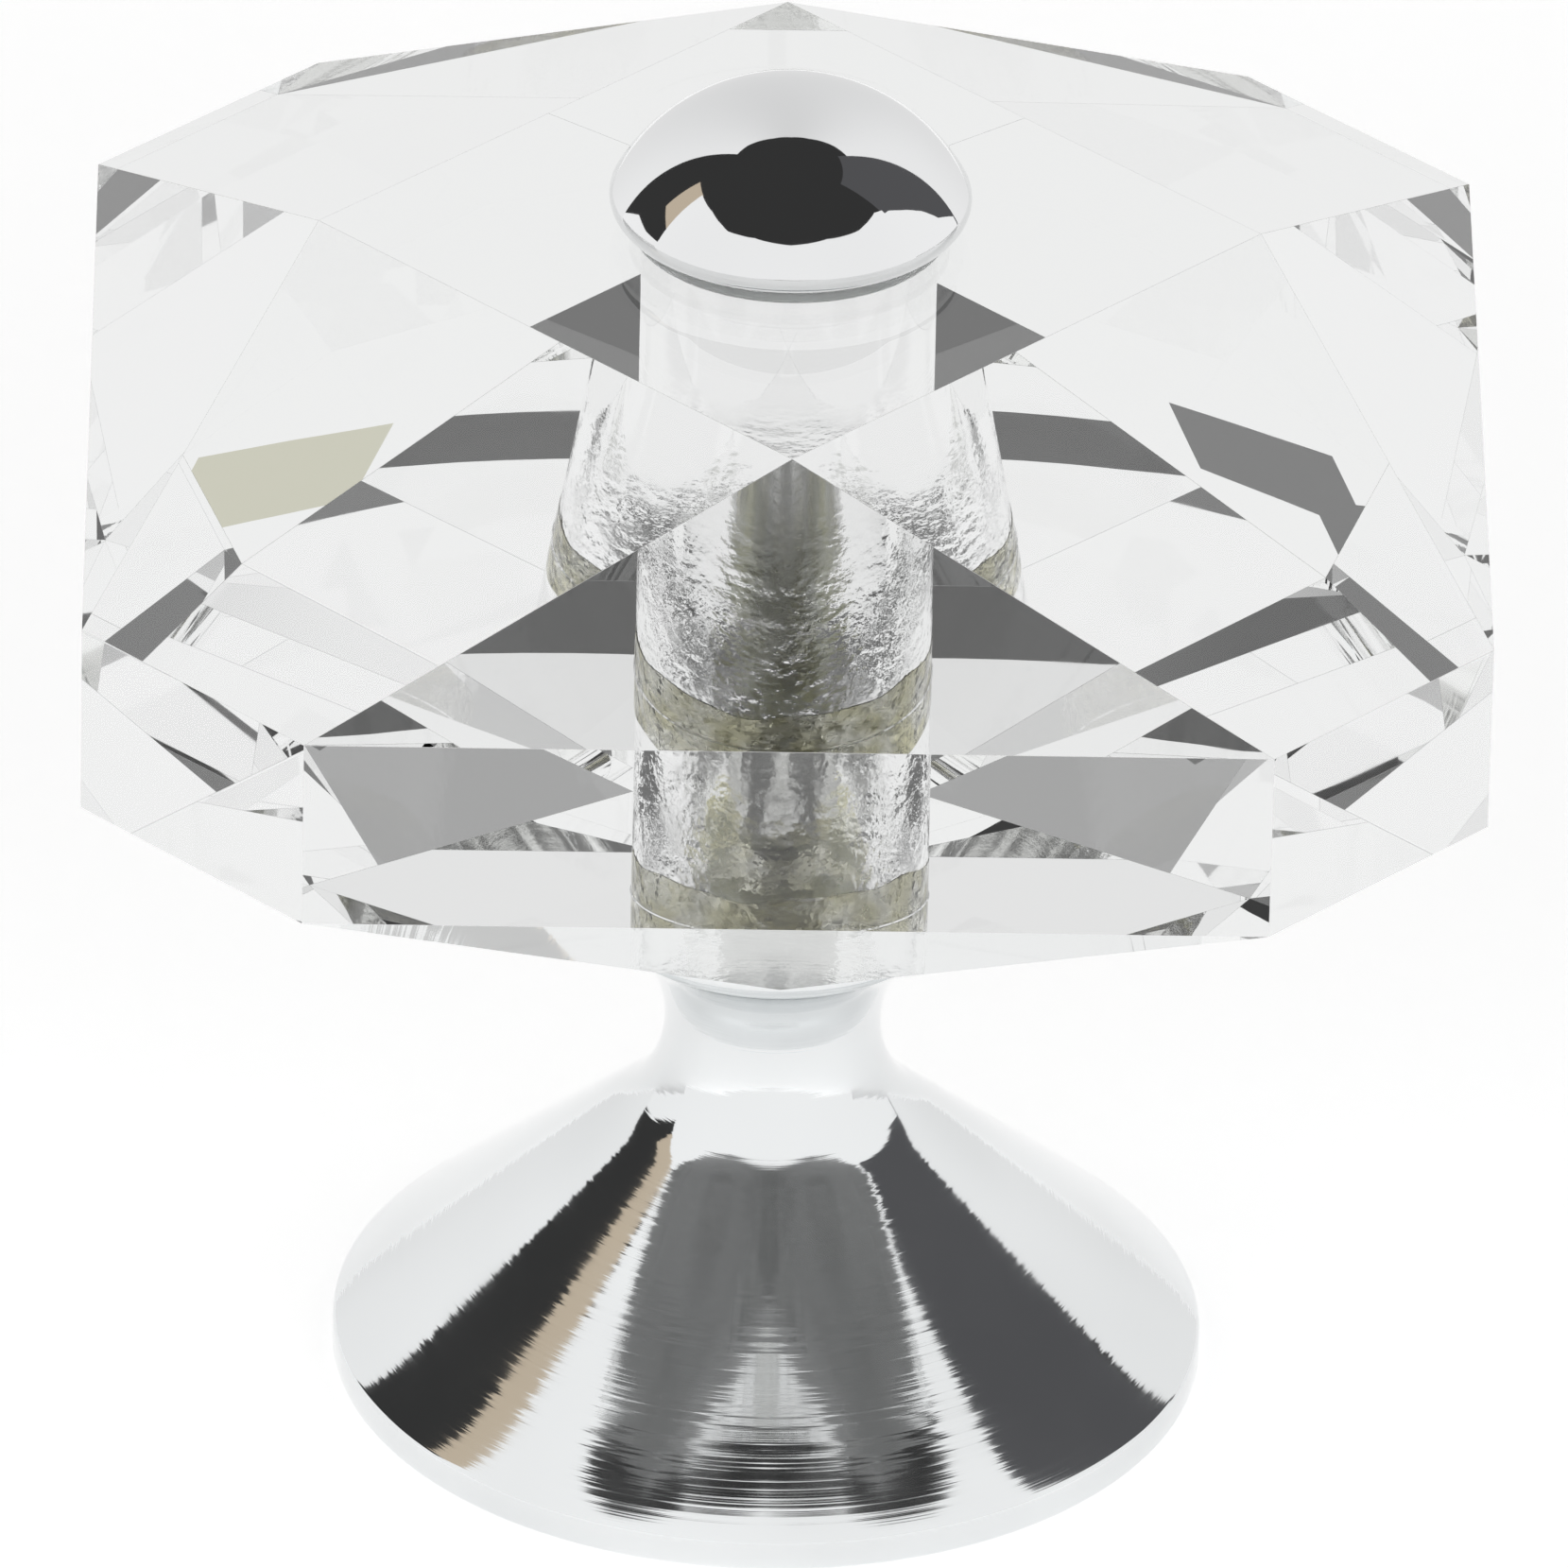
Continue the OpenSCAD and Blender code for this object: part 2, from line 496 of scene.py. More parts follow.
def measured(box: Sequence[Vector]) -> tuple[float, float, float]:
    """Reads the sizes of a round part from its CAD box.

    Args:
        box: The two corners of the box, in metres.

    Returns:
        The heights of its base and its top and its radius, in millimetres.
    """
    low, high = box
    return low.z / MM, high.z / MM, (high.x - low.x) / 2 / MM


def turned(name: str, outline: Sequence[Point], steps: int, finish: Finish) -> bpy.types.Object:
    """Turns an outline round Z.

    Args:
        name: The new object's name.
        outline: Points of (radius, height) in millimetres. Ends on the axis become poles, and an outline that
            keeps off the axis is closed into a ring.
        steps: How many sides the turned shape has.
        finish: Its finish.

    Returns:
        The new object, with smooth faces that point outwards.
    """
    shape = bmesh.new()
    rings = []
    for radius, height in outline:
        if radius < ON_AXIS:
            rings.append([shape.verts.new((0.0, 0.0, height * MM))] * steps)
            continue
        ring = []
        for step in range(steps):
            turn = 2 * math.pi * step / steps
            x, y = radius * MM * math.cos(turn), radius * MM * math.sin(turn)
            ring.append(shape.verts.new((x, y, height * MM)))
        rings.append(ring)
    pairs = list(zip(rings, rings[1:]))
    if outline[0][0] > ON_AXIS and outline[-1][0] > ON_AXIS:
        pairs.append((rings[-1], rings[0]))
    for low, high in pairs:
        for step in range(steps):
            after = (step + 1) % steps
            corners = list(dict.fromkeys((low[step], low[after], high[after], high[step])))
            if len(corners) > 2:
                shape.faces.new(corners)
    bmesh.ops.recalc_face_normals(shape, faces=shape.faces)
    piece = finished(name, shape, smooth=True)
    piece.data.materials.append(finish.material())
    return piece


def finished(name: str, shape: bmesh.types.BMesh, smooth: bool) -> bpy.types.Object:
    """Makes an object of a shape.

    Args:
        name: The object's name.
        shape: The shape, which is used up.
        smooth: Whether the faces are smooth, with sharp edges where they meet at a steep angle.

    Returns:
        The object, in the scene.
    """
    mesh = bpy.data.meshes.new(name)
    shape.to_mesh(mesh)
    shape.free()
    for face in mesh.polygons:
        face.use_smooth = smooth
    if smooth:
        mesh.set_sharp_from_angle(angle=math.radians(SHARP_ANGLE))
    piece = bpy.data.objects.new(name, mesh)
    bpy.context.scene.collection.objects.link(piece)
    return piece


def evaluated(piece: bpy.types.Object) -> bpy.types.Object:
    """Turns an object's modifiers into a plain mesh.

    Args:
        piece: The object with modifiers.

    Returns:
        The same object, with the result as its mesh and no modifier left.
    """
    bpy.context.view_layer.update()
    graph = bpy.context.evaluated_depsgraph_get()
    mesh = bpy.data.meshes.new_from_object(piece.evaluated_get(graph))
    piece.modifiers.clear()
    old = piece.data
    piece.data = mesh
    bpy.data.meshes.remove(old)
    mesh.name = piece.name
    return piece


class GeometryRecipe:
    """A geometry node tree with named inputs, and the object that it makes."""

    def __init__(self, name: str, sizes: dict[str, float]) -> None:
        """Starts the tree.

        Args:
            name: The name of the tree and of the piece.
            sizes: The named inputs and their values. Whole numbers become integer inputs.
        """
        self.name = name
        self.sizes = sizes
        self.tree = bpy.data.node_groups.new(name, "GeometryNodeTree")
        self.graph = Graph(self.tree)
        self.tree.interface.new_socket("Geometry", in_out="OUTPUT", socket_type="NodeSocketGeometry")
        for label, value in sizes.items():
            kind = "NodeSocketInt" if isinstance(value, int) else "NodeSocketFloat"
            self.tree.interface.new_socket(label, in_out="INPUT", socket_type=kind)
        self.given = self.graph.add("NodeGroupInput").outputs

    def make(self, geometry: bpy.types.NodeSocket, material: bpy.types.Material) -> bpy.types.Object:
        """Ends the tree and turns it into a plain piece.

        Args:
            geometry: The tree's last geometry socket.
            material: The material of the result.

        Returns:
            The piece, with no modifier left.
        """
        real = self.graph.add("GeometryNodeRealizeInstances", {"Geometry": geometry}).outputs[0]
        dressed = self.graph.add("GeometryNodeSetMaterial", {"Geometry": real, "Material": material})
        self.graph.add("NodeGroupOutput", {0: dressed.outputs[0]})
        piece = bpy.data.objects.new(self.name, bpy.data.meshes.new(self.name))
        bpy.context.scene.collection.objects.link(piece)
        modifier = piece.modifiers.new(self.name, "NODES")
        modifier.node_group = self.tree
        for item in self.tree.interface.items_tree:
            if item.in_out == "INPUT":
                modifier[item.identifier] = self.sizes[item.name]
        return evaluated(piece)


def joined(name: str, pieces: Sequence[bpy.types.Object]) -> bpy.types.Object:
    """Joins pieces into one, each with its own first material.

    Args:
        name: The name of the result.
        pieces: The pieces, which are used up.

    Returns:
        The joined piece.
    """
    shape = bmesh.new()
    materials: list[bpy.types.Material] = []
    for piece in pieces:
        first = len(shape.faces)
        shape.from_mesh(piece.data)
        shape.faces.ensure_lookup_table()
        material = piece.data.materials[0]
        if material not in materials:
            materials.append(material)
        for face in shape.faces[first:]:
            face.material_index = materials.index(material)
        bpy.data.meshes.remove(piece.data)
    result = finished(name, shape, smooth=True)
    for material in materials:
        result.data.materials.append(material)
    return result


@dataclass
class ScrewThread:
    """A helical ridge made by geometry nodes.

    Attributes:
        name: The name of the piece.
        crest: Radius at the ridge's crest.
        depth: Height of the ridge.
        pitch: Rise in one turn.
        low: Height of the first turn.
        high: Height of the last turn.
        side: Which way the crest points.
        steps: How many stretches one turn has.
        triangle_height: Height of the ridge's triangular section, over the radius of the circle round it.
    """

    name: str
    crest: float
    depth: float
    pitch: float
    low: float
    high: float
    side: ThreadSide
    steps: int = 48
    triangle_height: ClassVar[float] = 1.5

    def build(self, finish: Finish) -> bpy.types.Object:
        """Winds the ridge.

        Args:
            finish: The finish of the ridge.

        Returns:
            The ridge as a plain closed mesh.
        """
        size = self.depth / self.triangle_height
        inwards = self.side is ThreadSide.INSIDE
        recipe = GeometryRecipe(self.name, {
            "Steps": self.steps,
            "Turns": (self.high - self.low) / self.pitch,
            "Radius": (self.crest + (size if inwards else -size)) * MM,
            "Rise": (self.high - self.low) * MM,
            "Lift": self.low * MM,
            "Ridge": size * MM,
            "Ridge Turn": self.side.value,
        })
        graph, given = recipe.graph, recipe.given
        helix = graph.add("GeometryNodeCurveSpiral", {
            "Resolution": given["Steps"],
            "Rotations": given["Turns"],
            "Start Radius": given["Radius"],
            "End Radius": given["Radius"],
            "Height": given["Rise"],
        }).outputs[0]
        upright = graph.add("GeometryNodeSetCurveNormal", {"Curve": helix}, mode="Z_UP").outputs[0]
        section = {"Resolution": 3, "Radius": given["Ridge"]}
        ridge = graph.add("GeometryNodeCurvePrimitiveCircle", section).outputs[0]
        turn = graph.add("ShaderNodeCombineXYZ", {"Z": given["Ridge Turn"]}).outputs[0]
        faced = graph.add("GeometryNodeTransform", {"Geometry": ridge, "Rotation": turn}).outputs[0]
        sweep = {"Curve": upright, "Profile Curve": faced, "Fill Caps": True}
        wound = graph.add("GeometryNodeCurveToMesh", sweep).outputs[0]
        lift = graph.add("ShaderNodeCombineXYZ", {"Z": given["Lift"]}).outputs[0]
        raised = graph.add("GeometryNodeTransform", {"Geometry": wound, "Translation": lift}).outputs[0]
        return recipe.make(raised, finish.material())


# The knob's pieces


@dataclass
class SubAssembly:
    """A group of pieces that is built and dressed together."""

    pieces: list[bpy.types.Object] = field(default_factory=list, init=False)

    def keep(self, piece: bpy.types.Object, slot: Slot, *nodes: str) -> None:
        """Puts a finished piece on the knob.

        Args:
            piece: The piece.
            slot: The record's material slot that it takes.
            nodes: The CAD nodes that it stands for.
        """
        if nodes:
            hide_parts(*nodes)
        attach(piece, BODY)
        self.pieces.append(piece)
        faces = len(piece.data.polygons)
        log.info("%s: %d faces, slot %s, stands for %s", piece.name, faces, slot.value, nodes)


@dataclass
class CutCrystal(SubAssembly):
    """The crystal: a square with cut corners, sloping facets above and below its girdle, and a hole.

    The flat_angle is in degrees.
    """

    side_w: float = 27.3
    girdle_h: float = 5.8
    table_d: float = 27.0
    bore_d: float = 8.5
    bore_bevel: float = 0.05
    edge_bevel: float = 0.01
    bore_steps: int = 160
    bore_rings: int = 24
    table_corners: int = 4
    flat_angle: float = 0.5
    weld: float = 0.001
    overcut: float = 1.0

    def build(self) -> None:
        """Cuts the facets, softens their edges and drills the hole."""
        low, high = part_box("crystal_head")
        middle = (low + high) / 2
        crystal = self.facets(high.x - low.x, high.z - low.z, middle.z)
        self.soften(crystal)
        self.drill(crystal, low.z / MM, high.z / MM)
        self.keep(crystal, Slot.CRYSTAL, "crystal_head")

    def facets(self, width: float, height: float, middle: float) -> bpy.types.Object:
        """Wraps the girdle and the two turned square tables in one convex skin.

        Args:
            width: The width across two opposite sides, in metres.
            height: The height of the crystal, in metres.
            middle: The height of its middle, in metres.

        Returns:
            The faceted solid.
        """
        recipe = GeometryRecipe("crystal_body", {
            "Width": width,
            "Side": self.side_w * MM,
            "Girdle": self.girdle_h * MM,
            "Table Radius": self.table_d / 2 * MM,
            "Half Height": height / 2,
            "Middle": middle,
            "Table Corners": self.table_corners,
        })
        graph, given = recipe.graph, recipe.given
        outline = []
        for across, along in (("Width", "Side"), ("Side", "Width")):
            sides = {0: given[across], 1: given[along], 2: given["Girdle"]}
            size = graph.add("ShaderNodeCombineXYZ", sides).outputs[0]
            outline.append(graph.add("GeometryNodeMeshCube", {"Size": size}).outputs[0])
        down = graph.maths("MULTIPLY", given["Half Height"], -1.0)
        for lift in (given["Half Height"], down):
            shift = graph.add("ShaderNodeCombineXYZ", {2: lift}).outputs[0]
            corners = {"Vertices": given["Table Corners"], "Radius": given["Table Radius"]}
            table = graph.add("GeometryNodeMeshCircle", corners).outputs[0]
            placed = graph.add("GeometryNodeTransform", {"Geometry": table, "Translation": shift})
            outline.append(placed.outputs[0])
        together = graph.add("GeometryNodeJoinGeometry")
        for part in reversed(outline):
            graph.tree.links.new(part, together.inputs[0])
        skin = graph.add("GeometryNodeConvexHull", {"Geometry": together.outputs[0]}).outputs[0]
        shift = graph.add("ShaderNodeCombineXYZ", {2: given["Middle"]}).outputs[0]
        raised = graph.add("GeometryNodeTransform", {"Geometry": skin, "Translation": shift}).outputs[0]
        return recipe.make(raised, CRYSTAL.material())

    def soften(self, crystal: bpy.types.Object) -> None:
        """Merges flat neighbours into whole facets and bevels the edges between facets.

        Args:
            crystal: The faceted solid, whose mesh is changed.
        """
        shape = bmesh.new()
        shape.from_mesh(crystal.data)
        bmesh.ops.remove_doubles(shape, verts=shape.verts, dist=self.weld * MM)
        flat = math.radians(self.flat_angle)
        bmesh.ops.dissolve_limit(shape, angle_limit=flat, verts=shape.verts, edges=shape.edges)
        width = {"offset": self.edge_bevel * MM, "offset_type": "WIDTH"}
        bmesh.ops.bevel(shape, geom=list(shape.edges), segments=1, profile=0.5, affect="EDGES", **width)
        shape.to_mesh(crystal.data)
        shape.free()

    def drill(self, crystal: bpy.types.Object, low: float, high: float) -> None:
        """Drills the hole and bevels its mouths.

        Args:
            crystal: The softened solid, whose mesh is changed.
            low: The height of the lower table.
            high: The height of the upper table.
        """
        radius = self.bore_d / 2
        mouth = radius + self.bore_bevel + self.overcut
        under, over = low - self.overcut, high + self.overcut
        outline = [(0.0, under), (mouth, under), (radius, low + self.bore_bevel)]
        for ring in range(1, self.bore_rings):
            outline.append((radius, low + (high - low) * ring / self.bore_rings))
        outline += [(radius, high - self.bore_bevel), (mouth, over), (0.0, over)]
        cutter = turned("drill", outline, self.bore_steps, DRILLED)
        cut = crystal.modifiers.new("drilled", "BOOLEAN")
        cut.operation = "DIFFERENCE"
        cut.solver = "EXACT"
        cut.object = cutter
        cut.material_mode = "TRANSFER"
        evaluated(crystal)
        bpy.data.meshes.remove(cutter.data)
        wall = crystal.data.materials.find(DRILLED.name)
        for face in crystal.data.polygons:
            face.use_smooth = face.material_index == wall


@dataclass
class TurnedFoot(SubAssembly):
    """The one-piece foot and stem, with the threaded hole for the door screw.

    The cone_angle is in degrees. The drill_point is the depth of a hole's point over the hole's radius.
    """

    rim_h: float = 1.0
    rim_bevel: float = 0.15
    cone_angle: float = 41.0
    recess_d: float = 17.0
    recess_h: float = 0.5
    waist_z: float = 11.2
    waist_d: float = 6.3
    collar_round: float = 0.8
    collar_d: float = 10.8
    seat_bevel: float = 0.3
    core_d: float = 3.3
    thread_d: float = 4.0
    pitch: float = 0.7
    thread_depth: float = 8.8
    sink: float = 0.4
    bolt_hole_r: float = 2.03
    bolt_hole_depth: float = 5.7
    drill_point: float = 0.6
    thread_root: float = 0.05
    bevel_rings: int = 4
    rim_rings: int = 5
    collar_rings: int = 10
    waist_rings: int = 48
    cone_rings: int = 12
    steps: int = 256

    def outline(self, foot_r: float, seat: float) -> list[Point]:
        """The turned outline, from the top hole over the outside to the bottom hole.

        Args:
            foot_r: The foot's radius.
            seat: The height of the seat.

        Returns:
            Points of (radius, height).
        """
        waist, collar, bevel = self.waist_d / 2, self.collar_d / 2, self.rim_bevel
        slope = math.radians(self.cone_angle)
        turn = 90.0 - self.cone_angle
        rise = self.waist_z - self.rim_h - math.tan(slope) * (foot_r - waist)
        sweep = rise / (math.cos(slope) - math.tan(slope) * (1 - math.sin(slope)))
        centre = (waist + sweep, self.waist_z)
        round_x = collar - self.collar_round
        lift = math.sqrt((sweep + self.collar_round) ** 2 - (centre[0] - round_x) ** 2)
        round_at = (round_x, self.waist_z + lift)
        meet = math.degrees(math.atan2(lift, round_x - centre[0]))
        hole = seat - self.bolt_hole_depth
        points = [(0.0, hole - self.bolt_hole_r * self.drill_point), (self.bolt_hole_r, hole)]
        points += [(self.bolt_hole_r, seat)]
        seat_edge = (collar - self.seat_bevel, seat - self.seat_bevel)
        points += arc(seat_edge, self.seat_bevel, 90, 0, self.bevel_rings)
        points += arc(round_at, self.collar_round, 0, meet - 180, self.collar_rings)
        points += arc(centre, sweep, meet, 180 + turn, self.waist_rings)[1:]
        cone_foot = (foot_r - bevel, self.rim_h + bevel * math.tan(slope))
        cone_top = points[-1]
        for ring in range(1, self.cone_rings):
            share = ring / self.cone_rings
            points.append(tuple(above + (below - above) * share for above, below in zip(cone_top, cone_foot)))
        points += arc((foot_r - 2 * bevel, self.rim_h - bevel), 2 * bevel, turn, 0, self.rim_rings)
        points += arc((foot_r - bevel, bevel), bevel, 0, -90, self.bevel_rings)
        recess_r = self.recess_d / 2
        points += [(recess_r, 0.0), (recess_r, self.recess_h)]
        core = self.thread_d / 2
        points += [(core + self.sink, self.recess_h), (core, self.recess_h + self.sink)]
        bottom = self.recess_h + self.thread_depth
        points += [(core, bottom), (0.0, bottom + core * self.drill_point)]
        return points

    def build(self) -> None:
        """Turns the foot and cuts its thread."""
        _, seat, foot_r = measured(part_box("foot_stem"))
        foot = turned("foot_turning", self.outline(foot_r, seat), self.steps, FOOT_CHROME)
        self.keep(foot, Slot.FOOT, "foot_stem")
        crest, depth = self.core_d / 2, (self.thread_d - self.core_d) / 2 + self.thread_root
        mouth = self.recess_h + self.sink + self.pitch / 2
        end = self.recess_h + self.thread_depth - self.pitch
        thread = ScrewThread("door_screw_thread", crest, depth, self.pitch, mouth, end, ThreadSide.INSIDE)
        self.keep(thread.build(FOOT_CHROME), Slot.FOOT)


@dataclass
class DomedCap(SubAssembly):
    """The domed cap with its rounded rim and its blind hole for the bolt."""

    rim_round: float = 0.55
    hole_r: float = 2.03
    hole_depth: float = 2.3
    drill_point: float = 0.6
    dome_rings: int = 56
    rim_rings: int = 20
    steps: int = 256

    def build(self) -> None:
        """Turns the cap."""
        base, top, radius = measured(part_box("dome_cap"))
        rim_x, drop = radius - self.rim_round, top - base - self.rim_round
        ball = (rim_x ** 2 + drop ** 2 - self.rim_round ** 2) / (2 * (drop - self.rim_round))
        meet = math.degrees(math.atan2(base + self.rim_round - (top - ball), rim_x))
        points = arc((0.0, top - ball), ball, 90, meet, self.dome_rings)
        points[0] = (0.0, top)
        points += arc((rim_x, base + self.rim_round), self.rim_round, meet, -90, self.rim_rings)[1:]
        points += [(self.hole_r, base), (self.hole_r, base + self.hole_depth)]
        points += [(0.0, base + self.hole_depth + self.hole_r * self.drill_point)]
        self.keep(turned("cap_shell", points, self.steps, CAP_CHROME), Slot.CAP, "dome_cap")


@dataclass
class CrystalBolt(SubAssembly):
    """The shouldered bolt that holds cap, crystal and foot together."""

    thread_d: float = 4.0
    core_d: float = 3.15
    shank_d: float = 5.2
    pitch: float = 0.7
    bevel: float = 0.4
    shoulder_lift: float = 1.7
    thread_root: float = 0.05
    bevel_rings: int = 6
    steps: int = 96

    def build(self) -> None:
        """Turns the bolt and winds its two threads."""
        bottom, top, _ = measured(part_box("tie_bolt"))
        shoulder = measured(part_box("crystal_head"))[0] + self.shoulder_lift
        under_cap = measured(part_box("dome_cap"))[0]
        core, shank = self.core_d / 2, self.shank_d / 2
        points = [(0.0, bottom), (core - self.bevel, bottom), (core, bottom + self.bevel), (core, shoulder)]
        points += arc((shank - self.bevel, shoulder + self.bevel), self.bevel, -90, 0, self.bevel_rings)
        points += [(shank, under_cap), (core, under_cap)]
        points += [(core, top - self.bevel), (core - self.bevel, top), (0.0, top)]
        plain = turned("bolt_plain", points, self.steps, BOLT_STEEL)
        crest, depth, half = self.thread_d / 2, self.thread_d / 2 - core + self.thread_root, self.pitch / 2
        parts = [plain]
        for name, low, high in (("low", bottom, shoulder), ("top", under_cap, top)):
            ends = low + half, high - half
            thread = ScrewThread(f"bolt_thread_{name}", crest, depth, self.pitch, *ends, ThreadSide.OUTSIDE)
            parts.append(thread.build(BOLT_STEEL))
        self.keep(joined("crystal_bolt", parts), Slot.BOLT, "tie_bolt")


@dataclass
class SoftWasher(SubAssembly):
    """A clear washer with rounded edges."""

    name: str
    node: str
    hole_r: float
    edge: float = 0.15
    gap: float = 0.01
    edge_rings: int = 5
    steps: int = 128

    def build(self) -> None:
        """Turns the washer."""
        base, top, radius = measured(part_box(self.node))
        inner, outer = self.hole_r + self.edge, radius - self.edge
        under, over = base + self.gap + self.edge, top - self.gap - self.edge
        points = arc((outer, over), self.edge, 90, 0, self.edge_rings)
        points += arc((outer, under), self.edge, 0, -90, self.edge_rings)
        points += arc((inner, under), self.edge, 270, 180, self.edge_rings)
        points += arc((inner, over), self.edge, 180, 90, self.edge_rings)
        self.keep(turned(self.name, points, self.steps, PLASTIC), Slot.PLASTIC, self.node)


@dataclass
class AdhesiveRing(SubAssembly):
    """The adhesive at the bottom of the drilled hole, which wets the crystal's wall.

    Each of the waves has a height, a count round the ring and a start in radians.
    """

    inner_r: float = 2.0
    dip: float = 0.4
    wetting: float = 0.02
    ripple: float = 0.22
    still_h: float = 0.3
    waves: tuple[tuple[float, int, float], ...] = ((1.0, 3, 0.7), (0.6, 7, 2.1), (0.35, 13, 0.0))
    bowl_rings: int = 10
    steps: int = 144

    def build(self) -> None:
        """Pours the ring, with an uneven upper edge."""
        base, top, wall = measured(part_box("bore_adhesive"))
        radius = wall + self.wetting
        half = (radius - self.inner_r) / 2
        bowl = (half ** 2 + self.dip ** 2) / (2 * self.dip)
        reach = math.degrees(math.asin(half / bowl))
        points = [(self.inner_r, base), (radius, base), (radius, top)]
        centre = (self.inner_r + half, top - self.dip + bowl)
        points += arc(centre, bowl, 270 + reach, 270 - reach, self.bowl_rings)[1:]
        ring = turned("adhesive_ring", points, self.steps, ADHESIVE)
        crest = sum(height for height, _, _ in self.waves)
        for vertex in ring.data.vertices:
            if vertex.co.z > (base + self.still_h) * MM:
                turn = math.atan2(vertex.co.y, vertex.co.x)
                wave = sum(height * math.sin(count * turn + start) for height, count, start in self.waves)
                vertex.co.z -= self.ripple * MM * (crest + wave) / 2
        self.keep(ring, Slot.ADHESIVE, "bore_adhesive")


# Studio


@dataclass(frozen=True)
class CardLight(Finish):
    """A glowing studio card, whose middle can be dimmer than its ends."""

    tint: Colour = WHITE
    level: float = 1.0
    middle: float = 1.0
    end_bearing: float = 60.0

    def shader(self, graph: Graph) -> bpy.types.Node:
        """Adds the glow.

        Args:
            graph: The material's graph.

        Returns:
            The emission shader.
        """
        part = graph.add("ShaderNodeSeparateXYZ", {0: graph.where}).outputs
        bearing = graph.maths("ABSOLUTE", graph.maths("ARCTAN2", part[0], part[1]))
        end = math.radians(self.end_bearing)
        strength = graph.ramp(bearing, 0.0, end, self.level * self.middle, self.level)
        return graph.add("ShaderNodeEmission", {"Color": (*self.tint, 1.0), "Strength": strength})


class Stop(NamedTuple):
    """One upright line of a card: its bearing in degrees, its distance from the axis, and its two edges."""

    bearing: float
    radius: float
    low: float
    high: float


@dataclass
class Card:
    """A curved card standing round the knob.

    It bends evenly between its stops, with a fold at every step of bearing. A mirrored card is seen in
    mirrors, and any other card by the light that leaves the crystal.
    """

    name: str
    stops: Sequence[Stop]
    finish: CardLight
    step: float = 2.0
    mirrored: bool = True

    def build(self) -> None:
        """Bends the card round the knob, where the camera never sees it."""
        shape = bmesh.new()
        before = None
        for first, last in zip(self.stops, self.stops[1:]):
            count = max(1, round((last.bearing - first.bearing) / self.step))
            for number in range(1 if before else 0, count + 1):
                share = number / count
                fold = Stop(*(one + (other - one) * share for one, other in zip(first, last)))
                turn = math.radians(fold.bearing)
                x, y = fold.radius * MM * math.sin(turn), -fold.radius * MM * math.cos(turn)
                pair = [shape.verts.new((x, y, height * MM)) for height in (fold.low, fold.high)]
                if before:
                    shape.faces.new((before[0], pair[0], pair[1], before[1]))
                before = pair
        card = finished(self.name, shape, smooth=True)
        card.data.materials.append(self.finish.material())
        card.visible_camera = False
        card.visible_shadow = False
        card.visible_diffuse = self.mirrored
        card.visible_glossy = self.mirrored
        card.visible_transmission = not self.mirrored


@dataclass(frozen=True)
class Zone:
    """A part of the surround that light leaving the crystal sees at another level.

    It reaches from low to high in degrees above the horizon, and from near to far in degrees of bearing on
    either side.
    """

    low: float
    high: float
    near: float
    far: float
    level: float


